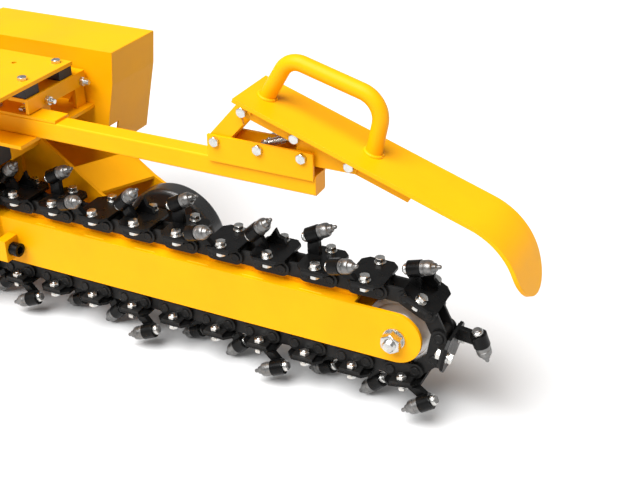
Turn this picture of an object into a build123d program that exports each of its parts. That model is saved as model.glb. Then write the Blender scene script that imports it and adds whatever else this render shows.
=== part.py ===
from build123d import *
import os
from math import atan2, cos, degrees, hypot, pi, radians, sin

os.makedirs("parts", exist_ok=True)

# A chain trencher's digging unit, in millimetres.  +X points along the boom to its nose, +Z is up
# and +Y is the side that the support wheel stands on.  The origin is the middle of the hitch
# plate's bolt pattern, on the plate's rear face, level with the boom's centre line.

# ---- driving dimensions -------------------------------------------------------------------------
PITCH = 50.8                # digging chain pitch
SPROCKET_TEETH = 10
CHAIN_PITCHES = 54          # twice the number of base plates
CHAIN_LEAD = 12.8           # how far past the top of the nose the first pin lies
ROLLER_R = 12.0
PIN_R = 7.0
PIN_HEAD_R = 10.0
PIN_HEAD = 3.0
ROLLER_LENGTH = 30.0
LINK_T = 5.5                # thickness of a link's side bar
INNER_BAR_H = 30.0
OUTER_BAR_H = 32.0
LINK_GAP = 0.3              # side clearance between neighbouring chain pieces
RUN_GAP = 0.3               # clearance under rollers and round curved pieces that move
FIT = 0.05                  # radial clearance of a running shaft
BOLT_GAP = 0.5              # radial clearance of a bolt in its hole

LUG_REACH = 48.0            # half width over the bent lugs that carry a base plate
LUG_TOP = 19.0              # height of a lug's face above the pitch line
LUG_LENGTH = 44.0
BASE_LENGTH = 75.0
BASE_HALF_WIDTH = 48.0
BASE_T = 6.0
BASE_CORNER = 13.0
PLATE_BOLT_Y = 36.0

TIP_RISE = 91.0             # highest bit tip above the pitch line
BIT_HEAD = 39.0             # tip to the back of the collar
BIT_COLLAR_R = 14.5
BIT_SHANK_R = 8.0
BARREL_R = 16.0
BARREL_LENGTH = 26.0
CLIP_R = 11.0
CLIP_LENGTH = 8.0
WEB_T = 12.0                # thickness of the web that stands a barrel on its base plate
WEB_FOOT = 12.5             # half its length where it meets the plate

HEAD_X = 300.0              # drive shaft ahead of the hitch face
BOOM_HALF_H = 52.7
BOOM_HALF_W = 41.5
BOOM_SIDE_T = 8.0
BOOM_SKIN_T = 6.0
BOOM_REAR = 917.0           # boom's rear end behind the nose axle
BOOM_SKIN_END = 85.0        # where the top and bottom skins stop behind the nose axle
RAIL_HALF_W = 13.0
IDLER_HALF_W = 13.5
NOSE_BOLT_R = 12.0
NOSE_SLEEVE_R = 17.0

SIDE_T = 8.0                # frame side plates
SIDE_INNER = 74.0
SIDE_FRONT = 478.0
SIDE_DROP = 100.0
BENCH_Z = 249.0             # top of the bench plate, where the crumber arm lies
BENCH_T = 8.0
BENCH_FRONT = 805.0         # bench plate's front edge behind the nose axle
BENCH_TIP_Y = -68.0
BENCH_FAR = 180.0
HITCH_T = 12.0
HITCH_HALF_W = 170.0
HITCH_HOLE_R = 9.0
HITCH_SPACING_Y = 260.0
HITCH_SPACING_Z = 120.0

SOCKET_FROM = 100.0         # socket block's rear face ahead of the drive shaft
SOCKET_LENGTH = 65.0
SOCKET_HALF_H = 45.0
TONGUE_LENGTH = 225.0
TONGUE_WALL = 6.0

LUG_T = 23.0                # tension lug on the boom, along X
LUG_FRONT = 880.0           # its front face behind the nose axle
SCREW_Y = -61.0
SCREW_Z = -8.0
SCREW_R = 10.0
SCREW_HEAD_R = 15.0
SCREW_HEAD = 20.0

SHAFT_R = 20.0
SHAFT_NEAR = -112.0
SHAFT_FAR = 175.0
STUB_R = 17.5               # drive end of the shaft, outside the far bearing
STUB_LENGTH = 66.0
BEARING_R = 56.0
BEARING_T = 22.0

ARM = 40.0                  # square tube of the crumber arm
ARM_WALL = 3.0
ARM_FRONT = 172.0           # arm's front end behind the nose axle
ARM_REAR = 1000.0
ARM_BOLTS = (844.0, 911.0)  # arm bolts behind the nose axle

BRACKET_T = 6.0
BRACKET_REAR = 390.0
BRACKET_FRONT = 171.0
BRACKET_LOW = 282.0
BRACKET_HIGH = 335.0
PIVOT_Z = 324.0             # crumber pivot
PIVOT_BACK = 193.0          # behind the nose axle
POST_BACK = 282.0           # spring post
STRUT_BACK = 373.0          # strut's foot
BOLT_R = 6.0

CRUMBER_TILT = 18.9
CRUMBER_HALF_W = 62.5
CRUMBER_T = 8.0
CRUMBER_RISE = 65.0         # top face above the pivot, square to the plate
CRUMBER_REAR = 145.0
CRUMBER_BEND_AT = 330.0
CRUMBER_BEND_R = 136.0
CRUMBER_BEND = 48.0
CHEEK_T = 6.0
CHEEK_INNER = 8.4
STRUT_T = 5.0
STRUT_W = 34.0
HANDLE_R = 15.0
HANDLE_WALL = 2.5

WHEEL_BACK = 595.0          # support wheel's axle behind the nose axle
WHEEL_Z = -10.0
WHEEL_R = 115.0
WHEEL_HALF_W = 25.0
FORK_T = 8.0
FORK_INNER = 114.0          # clear width between the fork plates
FORK_FAR_LEAD = 60.0        # how far the far plate's sloping edge stands ahead of the near one's
WHEEL_BOLT_R = 10.0

RAIL_BACK = 815.0           # front rail's face behind the nose axle
RAIL_SPACING = 345.0
RAIL_H = 32.0
RAIL_T = 8.0
RAIL_DEPTH = 50.0
RAIL_FOOT = 297.0
PAD_H = 23.0
PAD = 42.0
DECK_T = 8.0
DECK_NEAR = -140.0
DECK_FAR = 136.0
DECK_HOLE_R = 5.5
DECK_SPACING_X = 200.0
DECK_SPACING_Y = 162.0
GUARD_T = 4.0
GUARD_W = 160.0
GUARD_LENGTH = 420.0
GUARD_LOW = 200.0
GUARD_HIGH = 370.0
FLAP_T = 5.0
FLAP_H = 60.0

# ---- worked-out dimensions ----------------------------------------------------------------------
PITCH_R = PITCH / 2 / sin(pi / SPROCKET_TEETH)
BIT_AT = {                  # each bit's tip on its base plate, its rise and its sideways lean
    "finned": ((-4, -5, TIP_RISE), 44, 0),
    "tall": ((19, 22, 90), 27, 8),
    "low": ((-2, -62, 68), 20, -12),
}
PLATE_ORDER = ("finned", "tall", "low")
TIP_R = PITCH_R + TIP_RISE


def keep(piece, name):
    """Label a finished piece and write its STEP file."""
    piece.label = name
    export_step(piece, f"parts/{name}.step")


def side_plane(y):
    """A plane square to Y whose sketches read as (x, z); extruding goes towards -Y."""
    return Plane(origin=(0, y, 0), x_dir=(1, 0, 0), z_dir=(0, -1, 0))


def cross_plane(x):
    """A plane square to X whose sketches read as (y, z); extruding goes towards +X."""
    return Plane(origin=(x, 0, 0), x_dir=(0, 1, 0), z_dir=(1, 0, 0))


def scatter(piece, places):
    """One group of separate solids: the same piece at each place."""
    with BuildPart() as group:
        with Locations(*places):
            add(piece)
    return group.part


def bolt(radius, length, flats, head):
    """Hex bolt with its head standing on z = 0 and its shank going down."""
    with BuildPart() as piece:
        with BuildSketch():
            RegularPolygon(flats / 2, 6, major_radius=False)
        extrude(amount=head)
        with BuildSketch():
            Circle(radius)
        extrude(amount=-length)
    return piece.part


def nut(radius, flats, height):
    """Hex nut standing on z = 0."""
    with BuildPart() as piece:
        with BuildSketch():
            RegularPolygon(flats / 2, 6, major_radius=False)
            Circle(radius + FIT, mode=Mode.SUBTRACT)
        extrude(amount=height)
    return piece.part


def ring(inner, outer, length):
    """Plain ring standing on z = 0."""
    with BuildPart() as piece:
        with BuildSketch():
            Circle(outer)
            Circle(inner, mode=Mode.SUBTRACT)
        extrude(amount=length)
    return piece.part


def facing(direction, x, y, z):
    """Place a piece so that its own +Z points along a direction."""
    if abs(direction[2]) > 0.9:
        return Plane(origin=(x, y, z), x_dir=(1, 0, 0), z_dir=direction).location
    return Plane(origin=(x, y, z), x_dir=(0, 0, 1), z_dir=direction).location


NEAR = (0, -1, 0)
FAR = (0, 1, 0)
FORWARD = (1, 0, 0)
BACKWARD = (-1, 0, 0)


# ---- the digging chain's path -------------------------------------------------------------------
def path_point(s, span):
    """Point on the pitch line, from above the nose axle, round the nose and back."""
    arc = pi * PITCH_R
    s = s % (2 * span + 2 * arc)
    if s < arc:
        return (span + PITCH_R * sin(s / PITCH_R), PITCH_R * cos(s / PITCH_R))
    s -= arc
    if s < span:
        return (span - s, -PITCH_R)
    s -= span
    if s < arc:
        return (-PITCH_R * sin(s / PITCH_R), -PITCH_R * cos(s / PITCH_R))
    return (s - arc, PITCH_R)


def next_pin(s, span):
    """Distance along the path at which the next pin lies one pitch away."""
    here = path_point(s, span)
    low = s + PITCH * 0.99
    high = s + PITCH * 1.05
    for _ in range(50):
        middle = (low + high) / 2
        there = path_point(middle, span)
        if hypot(there[0] - here[0], there[1] - here[1]) < PITCH:
            low = middle
        else:
            high = middle
    return (low + high) / 2


def pin_distances(span):
    """Distances along the path of every pin and of the first one reached again."""
    distances = [CHAIN_LEAD]
    for _ in range(CHAIN_PITCHES):
        distances.append(next_pin(distances[-1], span))
    return distances


def closed_span():
    """Distance between the shafts at which the loop of links closes."""
    nominal = (CHAIN_PITCHES - SPROCKET_TEETH) / 2 * PITCH
    low = nominal - PITCH / 4
    high = nominal + PITCH / 4
    for _ in range(50):
        span = (low + high) / 2
        lap = pin_distances(span)
        if lap[-1] - lap[0] > 2 * span + 2 * pi * PITCH_R:
            low = span
        else:
            high = span
    return (low + high) / 2


SPAN = closed_span()
NOSE_X = HEAD_X + SPAN
PINS = [(HEAD_X + p[0], p[1]) for p in (path_point(s, SPAN) for s in pin_distances(SPAN))]


def behind_nose(distance):
    return NOSE_X - distance


def link_place(index):
    """Place of a link: x along its travel, z away from the inside of the loop."""
    start = PINS[index]
    end = PINS[index + 1]
    along = ((end[0] - start[0]) / PITCH, 0, (end[1] - start[1]) / PITCH)
    middle = ((start[0] + end[0]) / 2, 0, (start[1] + end[1]) / 2)
    return Plane(origin=middle, x_dir=along, z_dir=(-along[2], 0, along[0])).location


OUTER_PLACES = [link_place(i) for i in range(0, CHAIN_PITCHES, 2)]
INNER_PLACES = [link_place(i) for i in range(1, CHAIN_PITCHES, 2)]
PIN_PLACES = [facing(NEAR, x, 0, z) for x, z in PINS[:CHAIN_PITCHES]]
PLATE_KINDS = [PLATE_ORDER[i % 3] for i in range(len(OUTER_PLACES))]

INNER_FACE = ROLLER_LENGTH / 2 + LINK_GAP
OUTER_FACE = INNER_FACE + LINK_T + LINK_GAP
CHAIN_HALF_W = OUTER_FACE + LINK_T
BASE_TOP = LUG_TOP + BASE_T


# ---- chain: links, pins and rollers -------------------------------------------------------------
with BuildPart() as inner_link:
    for side in (-1, 1):
        with BuildSketch(side_plane(side * INNER_FACE)):
            SlotCenterToCenter(PITCH, INNER_BAR_H)
            with GridLocations(PITCH, 0, 2, 1):
                Circle(PIN_R + RUN_GAP, mode=Mode.SUBTRACT)
        extrude(amount=-side * LINK_T)

with BuildPart() as outer_link:
    for side in (-1, 1):
        with BuildSketch(side_plane(side * OUTER_FACE)):
            SlotCenterToCenter(PITCH, OUTER_BAR_H)
            with GridLocations(PITCH, 0, 2, 1):
                Circle(PIN_R + FIT, mode=Mode.SUBTRACT)
        extrude(amount=-side * LINK_T)
        with BuildSketch(Plane.XY.offset(LUG_TOP)):
            with Locations((0, side * (OUTER_FACE + LUG_REACH) / 2)):
                Rectangle(LUG_LENGTH, LUG_REACH - OUTER_FACE)
            with Locations((0, side * PLATE_BOLT_Y)):
                Circle(BOLT_R + BOLT_GAP, mode=Mode.SUBTRACT)
        extrude(amount=-LINK_T)

chain_inner_links = scatter(inner_link.part, INNER_PLACES)
keep(chain_inner_links, "chain_inner_links")
chain_outer_links = scatter(outer_link.part, OUTER_PLACES)
keep(chain_outer_links, "chain_outer_links")

with BuildPart() as link_pin:
    Cylinder(PIN_R, 2 * (CHAIN_HALF_W + PIN_HEAD))
    for side in (-1, 1):
        with Locations((0, 0, side * (CHAIN_HALF_W + PIN_HEAD / 2))):
            Cylinder(PIN_HEAD_R, PIN_HEAD)

with BuildPart() as link_roller:
    Cylinder(ROLLER_R, ROLLER_LENGTH)
    Cylinder(PIN_R + RUN_GAP, ROLLER_LENGTH, mode=Mode.SUBTRACT)

chain_pins = scatter(link_pin.part, PIN_PLACES)
keep(chain_pins, "chain_pins")
chain_rollers = scatter(link_roller.part, PIN_PLACES)
keep(chain_rollers, "chain_rollers")

# ---- chain: base plates, their bolts, bit holders, bits and fins --------------------------------
with BuildPart() as base_plate:
    with BuildSketch(Plane.XY.offset(LUG_TOP)) as outline:
        Rectangle(BASE_LENGTH, 2 * BASE_HALF_WIDTH)
        chamfer(outline.vertices(), BASE_CORNER)
        with GridLocations(0, 2 * PLATE_BOLT_Y, 1, 2):
            Circle(BOLT_R + BOLT_GAP, mode=Mode.SUBTRACT)
    extrude(amount=BASE_T)

base_plates = scatter(base_plate.part, OUTER_PLACES)
keep(base_plates, "base_plates")

PLATE_BOLT_FLATS = 18.0
PLATE_BOLT_HEAD = 7.5
WASHER_STACK = 4.0          # flat and spring washer, one with the head they lie under
PLATE_NUT = 9.0
plate_bolt = bolt(
    BOLT_R, BASE_T + LINK_T + PLATE_NUT + 2, PLATE_BOLT_FLATS, PLATE_BOLT_HEAD + WASHER_STACK
)
plate_nut = nut(BOLT_R, PLATE_BOLT_FLATS, PLATE_NUT)
BOLT_PLACES = [
    place * Pos(0, side * PLATE_BOLT_Y, BASE_TOP) for place in OUTER_PLACES for side in (-1, 1)
]
NUT_PLACES = [place * Pos(0, 0, -BASE_T - LINK_T - PLATE_NUT) for place in BOLT_PLACES]
plate_bolts = scatter(plate_bolt, BOLT_PLACES)
keep(plate_bolts, "plate_bolts")
plate_nuts = scatter(plate_nut, NUT_PLACES)
keep(plate_nuts, "plate_nuts")


def bit_axis(rise, lean):
    """Unit vector that a bit points along, on its base plate."""
    return (
        cos(radians(rise)) * cos(radians(lean)),
        cos(radians(rise)) * sin(radians(lean)),
        sin(radians(rise)),
    )


def bit_place(tip, rise, lean):
    """Place of a bit on its base plate: origin at the tip, +Z the way it points."""
    axis = bit_axis(rise, lean)
    return Plane(origin=tip, x_dir=(-sin(radians(lean)), cos(radians(lean)), 0), z_dir=axis)


with BuildPart() as bit:
    with BuildSketch(Plane.XZ):
        with BuildLine():
            Polyline(
                (0, 0), (2.5, -0.6), (4, -3), (4, -9), (7.5, -10), (9.5, -17), (13, -19),
                (BIT_COLLAR_R, -24), (BIT_COLLAR_R, -BIT_HEAD), (BIT_SHANK_R, -BIT_HEAD),
                (BIT_SHANK_R, -BIT_HEAD - BARREL_LENGTH - CLIP_LENGTH - 3),
                (0, -BIT_HEAD - BARREL_LENGTH - CLIP_LENGTH - 3), close=True,
            )
        make_face()
    revolve(axis=Axis.Z)

with BuildPart() as clip:
    with BuildSketch(Plane.XY.offset(-BIT_HEAD - BARREL_LENGTH - LINK_GAP - CLIP_LENGTH)):
        Circle(CLIP_R)
        Circle(BIT_SHANK_R + FIT, mode=Mode.SUBTRACT)
    extrude(amount=CLIP_LENGTH)


def holder(tip, rise, lean):
    """Barrel for one bit with the web that stands it on its base plate."""
    place = bit_place(tip, rise, lean)
    with BuildPart() as piece:
        with BuildSketch(place.offset(-BIT_HEAD - LINK_GAP)):
            Circle(BARREL_R)
        extrude(amount=-BARREL_LENGTH + LINK_GAP)
        centre = place.offset(-BIT_HEAD - BARREL_LENGTH / 2).origin
        foot = max(centre.X, -BASE_LENGTH / 2 + WEB_FOOT)
        web_y = max(centre.Y, -BASE_HALF_WIDTH + WEB_T / 2 + 2)
        with BuildSketch(side_plane(web_y + WEB_T / 2)):
            with BuildLine():
                Polyline(
                    (foot - WEB_FOOT, BASE_TOP), (foot + WEB_FOOT, BASE_TOP),
                    (centre.X + 12, centre.Z), (centre.X - 12, centre.Z), close=True,
                )
            make_face()
        extrude(amount=WEB_T)
        with BuildSketch(place.offset(-BIT_HEAD + 1)):
            Circle(BIT_SHANK_R + LINK_GAP)
        extrude(amount=-BARREL_LENGTH - 2, mode=Mode.SUBTRACT)
        with BuildSketch(place.offset(-BIT_HEAD - LINK_GAP)):
            Circle(BIT_COLLAR_R + 2)
        extrude(amount=BIT_HEAD, mode=Mode.SUBTRACT)
        with BuildSketch(place.offset(-BIT_HEAD - BARREL_LENGTH)):
            Circle(CLIP_R + 2)
        extrude(amount=-BARREL_LENGTH, mode=Mode.SUBTRACT)
    return piece.part


with BuildPart() as bit_holders:
    for kind, bit_seat in BIT_AT.items():
        with Locations(*[p for p, k in zip(OUTER_PLACES, PLATE_KINDS) if k == kind]):
            add(holder(*bit_seat))
keep(bit_holders.part, "bit_holders")

BIT_PLACES = [p * bit_place(*BIT_AT[k]).location for p, k in zip(OUTER_PLACES, PLATE_KINDS)]
rotary_bits = scatter(bit.part, BIT_PLACES)
keep(rotary_bits, "rotary_bits")
bit_clips = scatter(clip.part, BIT_PLACES)
keep(bit_clips, "bit_clips")

with BuildPart() as fin:
    with BuildSketch(side_plane(26)):
        with BuildLine():
            Polyline(
                (-32, BASE_TOP), (14, BASE_TOP), (9, BASE_TOP + 13), (-3, BASE_TOP + 17),
                (-10, BASE_TOP + 32), (-18, BASE_TOP + 19), close=True,
            )
        make_face()
    extrude(amount=8)
knife_fins = scatter(fin.part, [p for p, k in zip(OUTER_PLACES, PLATE_KINDS) if k == "finned"])
keep(knife_fins, "knife_fins")

# ---- boom ---------------------------------------------------------------------------------------
BOOM_INNER = BOOM_HALF_W - BOOM_SIDE_T
with BuildPart() as boom_sides:
    for side in (-1, 1):
        with BuildSketch(side_plane(side * BOOM_INNER)):
            with Locations((behind_nose(BOOM_REAR / 2), 0)):
                Rectangle(BOOM_REAR, 2 * BOOM_HALF_H)
            with Locations((NOSE_X, 0)):
                Circle(BOOM_HALF_H)
                Circle(NOSE_BOLT_R + BOLT_GAP, mode=Mode.SUBTRACT)
        extrude(amount=-side * BOOM_SIDE_T)
keep(boom_sides.part, "boom_sides")

SKIN_LENGTH = BOOM_REAR - BOOM_SKIN_END
with BuildPart() as boom_skins:
    for side in (-1, 1):
        with BuildSketch(Plane.XY.offset(side * (BOOM_HALF_H - BOOM_SKIN_T))):
            with Locations((behind_nose(BOOM_SKIN_END + SKIN_LENGTH / 2), 0)):
                Rectangle(SKIN_LENGTH, 2 * BOOM_INNER)
        extrude(amount=side * BOOM_SKIN_T)
keep(boom_skins.part, "boom_skins")

CHAIN_RAIL_H = PITCH_R - ROLLER_R - RUN_GAP - BOOM_HALF_H
with BuildPart() as chain_rails:
    for side in (-1, 1):
        with BuildSketch(Plane.XY.offset(side * BOOM_HALF_H)):
            with Locations((behind_nose(BOOM_SKIN_END + SKIN_LENGTH / 2), 0)):
                Rectangle(SKIN_LENGTH - 6, 2 * RAIL_HALF_W)
        extrude(amount=side * CHAIN_RAIL_H)
keep(chain_rails.part, "chain_rails")

with BuildPart() as tension_lug:
    with BuildSketch(cross_plane(behind_nose(LUG_FRONT + LUG_T))):
        with Locations(((-BOOM_HALF_W + SCREW_Y - 20) / 2, SCREW_Z)):
            Rectangle(-SCREW_Y + 20 - BOOM_HALF_W, 50)
        with Locations((SCREW_Y, SCREW_Z)):
            Circle(SCREW_R + FIT, mode=Mode.SUBTRACT)
    extrude(amount=LUG_T)
keep(tension_lug.part, "tension_lug")

# ---- nose idler and its axle --------------------------------------------------------------------
NOSE_WASHER = 4.0
NOSE_NUT = 21.0
NOSE_FLATS = 36.0
IDLER_R = PITCH_R - ROLLER_R - RUN_GAP
with BuildPart() as idler_wheel:
    with BuildSketch(Plane.XZ):
        with Locations(((NOSE_SLEEVE_R + FIT + IDLER_R) / 2, 0)):
            Rectangle(IDLER_R - NOSE_SLEEVE_R - FIT, 2 * IDLER_HALF_W)
        for side in (-1, 1):
            with Locations((46, side * IDLER_HALF_W)):
                Rectangle(26, 8, mode=Mode.SUBTRACT)
    revolve(axis=Axis.Z)
keep(idler_wheel.part.moved(facing(NEAR, NOSE_X, 0, 0)), "idler_wheel")

nose_sleeve = ring(NOSE_BOLT_R + FIT, NOSE_SLEEVE_R, 2 * IDLER_HALF_W + 1)
keep(nose_sleeve.moved(facing(NEAR, NOSE_X, IDLER_HALF_W + 0.5, 0)), "nose_sleeve")

nose_spacer = ring(NOSE_BOLT_R + FIT, NOSE_SLEEVE_R + 5, BOOM_INNER - IDLER_HALF_W - 0.5)
nose_spacers = scatter(
    nose_spacer,
    [facing(NEAR, NOSE_X, -IDLER_HALF_W - 0.5, 0), facing(FAR, NOSE_X, IDLER_HALF_W + 0.5, 0)],
)
keep(nose_spacers, "nose_spacers")

nose_washer = ring(NOSE_BOLT_R + BOLT_GAP, 22, NOSE_WASHER)
nose_washers = scatter(
    nose_washer, [facing(NEAR, NOSE_X, -BOOM_HALF_W, 0), facing(FAR, NOSE_X, BOOM_HALF_W, 0)]
)
keep(nose_washers, "nose_washers")
NOSE_STACK = 2 * (BOOM_HALF_W + NOSE_WASHER)
nose_bolt = bolt(NOSE_BOLT_R, NOSE_STACK + NOSE_NUT + 9, NOSE_FLATS, 15)
keep(nose_bolt.moved(facing(FAR, NOSE_X, BOOM_HALF_W + NOSE_WASHER, 0)), "nose_bolt")
nose_nut = nut(NOSE_BOLT_R, NOSE_FLATS, NOSE_NUT)
keep(nose_nut.moved(facing(NEAR, NOSE_X, -BOOM_HALF_W - NOSE_WASHER, 0)), "nose_nut")

# ---- main frame ---------------------------------------------------------------------------------
SIDE_OUTER = SIDE_INNER + SIDE_T
BENCH_LOW = BENCH_Z - BENCH_T
with BuildPart() as hitch_plate:
    with BuildSketch(cross_plane(0)):
        with Locations((0, (BENCH_Z - TIP_R) / 2)):
            Rectangle(2 * HITCH_HALF_W, BENCH_Z + TIP_R)
        with GridLocations(HITCH_SPACING_Y, HITCH_SPACING_Z, 2, 2):
            Circle(HITCH_HOLE_R, mode=Mode.SUBTRACT)
    extrude(amount=HITCH_T)
keep(hitch_plate.part, "hitch_plate")

BEARING_BOLT_R = 5.0
BEARING_BOLT_PCD = 88.0
with BuildPart() as frame_sides:
    for side in (-1, 1):
        with BuildSketch(side_plane(side * SIDE_INNER)):
            with BuildLine():
                Polyline(
                    (HITCH_T, -SIDE_DROP), (SIDE_FRONT - 130, -SIDE_DROP), (SIDE_FRONT, -SIDE_DROP / 2),
                    (SIDE_FRONT, BENCH_LOW), (HITCH_T, BENCH_LOW), close=True,
                )
            make_face()
            with Locations((HEAD_X, 0)):
                Circle(SHAFT_R + 8, mode=Mode.SUBTRACT)
                with PolarLocations(BEARING_BOLT_PCD / 2, 4, start_angle=45):
                    Circle(BEARING_BOLT_R + BOLT_GAP, mode=Mode.SUBTRACT)
        extrude(amount=-side * SIDE_T)
keep(frame_sides.part, "frame_sides")

with BuildPart() as bench_plate:
    with BuildSketch(Plane.XY.offset(BENCH_LOW)):
        with BuildLine():
            Polyline(
                (HITCH_T, -SIDE_OUTER), (SIDE_FRONT, -SIDE_OUTER), (SIDE_FRONT, BENCH_TIP_Y),
                (behind_nose(BENCH_FRONT), BENCH_TIP_Y), (behind_nose(BENCH_FRONT), BENCH_FAR),
                (HITCH_T, BENCH_FAR), close=True,
            )
        make_face()
        for back in ARM_BOLTS:
            with Locations((behind_nose(back), 0)):
                Circle(BOLT_R + BOLT_GAP, mode=Mode.SUBTRACT)
    extrude(amount=BENCH_T)
keep(bench_plate.part, "bench_plate")

SOCKET_X = HEAD_X + SOCKET_FROM
with BuildPart() as boom_socket:
    with BuildSketch(cross_plane(SOCKET_X)):
        Rectangle(2 * SIDE_INNER, 2 * SOCKET_HALF_H)
    extrude(amount=SOCKET_LENGTH)
keep(boom_socket.part, "boom_socket")

TONGUE_HALF_W = BOOM_INNER - RUN_GAP
TONGUE_HALF_H = BOOM_HALF_H - BOOM_SKIN_T - RUN_GAP
with BuildPart() as boom_tongue:
    with BuildSketch(cross_plane(SOCKET_X + SOCKET_LENGTH)):
        Rectangle(2 * TONGUE_HALF_W, 2 * TONGUE_HALF_H)
        Rectangle(
            2 * (TONGUE_HALF_W - TONGUE_WALL), 2 * (TONGUE_HALF_H - TONGUE_WALL), mode=Mode.SUBTRACT
        )
    extrude(amount=TONGUE_LENGTH)
keep(boom_tongue.part, "boom_tongue")

FRONT_X = behind_nose(895)
FRONT_LOW = TIP_R + 4
FRONT_NEAR = -8.0
with BuildPart() as front_plate:
    with BuildSketch(cross_plane(FRONT_X)):
        with BuildLine():
            Polyline((FRONT_NEAR, FRONT_LOW), (SIDE_OUTER, FRONT_LOW), (SIDE_OUTER, BENCH_LOW),
                     (FRONT_NEAR, BENCH_LOW), close=True)
        make_face()
    extrude(amount=6)
keep(front_plate.part, "front_plate")

with BuildPart() as spoil_flap:
    with BuildSketch(cross_plane(FRONT_X)):
        with Locations(((BENCH_TIP_Y + FRONT_NEAR) / 2, BENCH_LOW - FLAP_H / 2)):
            Rectangle(FRONT_NEAR - BENCH_TIP_Y - 2, FLAP_H)
    extrude(amount=FLAP_T)
keep(spoil_flap.part, "spoil_flap")

# ---- drive shaft, sprocket and bearings ---------------------------------------------------------
head_pins = [p for p in PINS[:CHAIN_PITCHES] if p[0] < HEAD_X]
HEAD_PHASE = degrees(atan2(head_pins[0][1], head_pins[0][0] - HEAD_X))
TOOTH_TIP = PITCH_R + 8
with BuildPart() as drive_sprocket:
    with BuildSketch(side_plane(IDLER_HALF_W)):
        Circle(TOOTH_TIP)
        with PolarLocations(PITCH_R, SPROCKET_TEETH, start_angle=HEAD_PHASE):
            Circle(ROLLER_R + RUN_GAP, mode=Mode.SUBTRACT)
            Polygon(
                (-2, -ROLLER_R - RUN_GAP), (14, -ROLLER_R - 9), (14, ROLLER_R + 9),
                (-2, ROLLER_R + RUN_GAP), align=None, mode=Mode.SUBTRACT,
            )
    extrude(amount=2 * IDLER_HALF_W)
    Cylinder(38, 72, rotation=(90, 0, 0))
    Cylinder(SHAFT_R + FIT, 80, rotation=(90, 0, 0), mode=Mode.SUBTRACT)
keep(drive_sprocket.part.moved(Pos(HEAD_X, 0, 0)), "drive_sprocket")

with BuildPart() as drive_shaft:
    with BuildSketch(Plane.XY.offset(STUB_LENGTH - SHAFT_FAR)):
        Circle(SHAFT_R)
    extrude(amount=SHAFT_FAR - STUB_LENGTH - SHAFT_NEAR)
    chamfer(drive_shaft.edges().group_by(Axis.Z)[-1], 1.5)
    with BuildSketch(Plane.XY.offset(STUB_LENGTH - SHAFT_FAR)):
        Circle(STUB_R)
    extrude(amount=-STUB_LENGTH)
keep(drive_shaft.part.moved(facing(NEAR, HEAD_X, 0, 0)), "drive_shaft")

with BuildPart() as bearing:
    with BuildSketch():
        Circle(BEARING_R)
        Circle(SHAFT_R + FIT, mode=Mode.SUBTRACT)
        with PolarLocations(BEARING_BOLT_PCD / 2, 4, start_angle=45):
            Circle(BEARING_BOLT_R + BOLT_GAP, mode=Mode.SUBTRACT)
    extrude(amount=10)
    with BuildSketch(Plane.XY.offset(10)):
        Circle(34)
        Circle(SHAFT_R + FIT, mode=Mode.SUBTRACT)
    extrude(amount=BEARING_T - 10)
bearings = scatter(
    bearing.part, [facing(NEAR, HEAD_X, -SIDE_OUTER, 0), facing(FAR, HEAD_X, SIDE_OUTER, 0)]
)
keep(bearings, "bearings")

bearing_bolt = bolt(BEARING_BOLT_R, 10 + SIDE_T + 2, 16, 6.5)
with BuildPart() as bearing_bolts:
    for direction, y in ((NEAR, -SIDE_OUTER - 10), (FAR, SIDE_OUTER + 10)):
        for step in range(4):
            turn = radians(45 + 90 * step)
            x = HEAD_X + BEARING_BOLT_PCD / 2 * cos(turn)
            z = BEARING_BOLT_PCD / 2 * sin(turn)
            with Locations(facing(direction, x, y, z)):
                add(bearing_bolt)
keep(bearing_bolts.part, "bearing_bolts")

# ---- chain tensioner screw ----------------------------------------------------------------------
SCREW_TIP = SOCKET_X + SOCKET_LENGTH + RUN_GAP
SCREW_SEAT = behind_nose(LUG_FRONT - 1)
with BuildPart() as tension_screw:
    with BuildSketch(cross_plane(SCREW_TIP)):
        with Locations((SCREW_Y, SCREW_Z)):
            Circle(SCREW_R)
    extrude(amount=SCREW_SEAT - SCREW_TIP)
    with BuildSketch(cross_plane(SCREW_SEAT)):
        with Locations((SCREW_Y, SCREW_Z)):
            Circle(SCREW_HEAD_R)
    extrude(amount=SCREW_HEAD)
    with BuildSketch(cross_plane(SCREW_SEAT + SCREW_HEAD)):
        with Locations((SCREW_Y, SCREW_Z)):
            RegularPolygon(8.5, 6, major_radius=False)
    extrude(amount=-10, mode=Mode.SUBTRACT)
keep(tension_screw.part, "tension_screw")

# ---- crumber arm, its clamp and bolts -----------------------------------------------------------
ARM_TOP = BENCH_Z + ARM
with BuildPart() as crumber_arm:
    with BuildSketch(cross_plane(behind_nose(ARM_REAR))):
        with Locations((0, BENCH_Z + ARM / 2)):
            RectangleRounded(ARM, ARM, 4)
            RectangleRounded(ARM - 2 * ARM_WALL, ARM - 2 * ARM_WALL, 2, mode=Mode.SUBTRACT)
    extrude(amount=ARM_REAR - ARM_FRONT)
    with BuildSketch(Plane.XY.offset(BENCH_Z)):
        for back in ARM_BOLTS:
            with Locations((behind_nose(back), 0)):
                Circle(BOLT_R + BOLT_GAP)
    extrude(amount=ARM, mode=Mode.SUBTRACT)
keep(crumber_arm.part, "crumber_arm")

with BuildPart() as arm_end_cap:
    with BuildSketch(cross_plane(behind_nose(ARM_FRONT))):
        with Locations((0, BENCH_Z + ARM / 2)):
            RectangleRounded(ARM, ARM, 4)
    extrude(amount=ARM_WALL)
keep(arm_end_cap.part, "arm_end_cap")

CLAMP_T = 6.0
with BuildPart() as arm_clamp:
    with BuildSketch(Plane.XY.offset(ARM_TOP)):
        with Locations((behind_nose(840), 2)):
            Rectangle(180, ARM + 4)
        for back in ARM_BOLTS:
            with Locations((behind_nose(back), 0)):
                Circle(BOLT_R + BOLT_GAP, mode=Mode.SUBTRACT)
    extrude(amount=CLAMP_T)
keep(arm_clamp.part, "arm_clamp")

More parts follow.
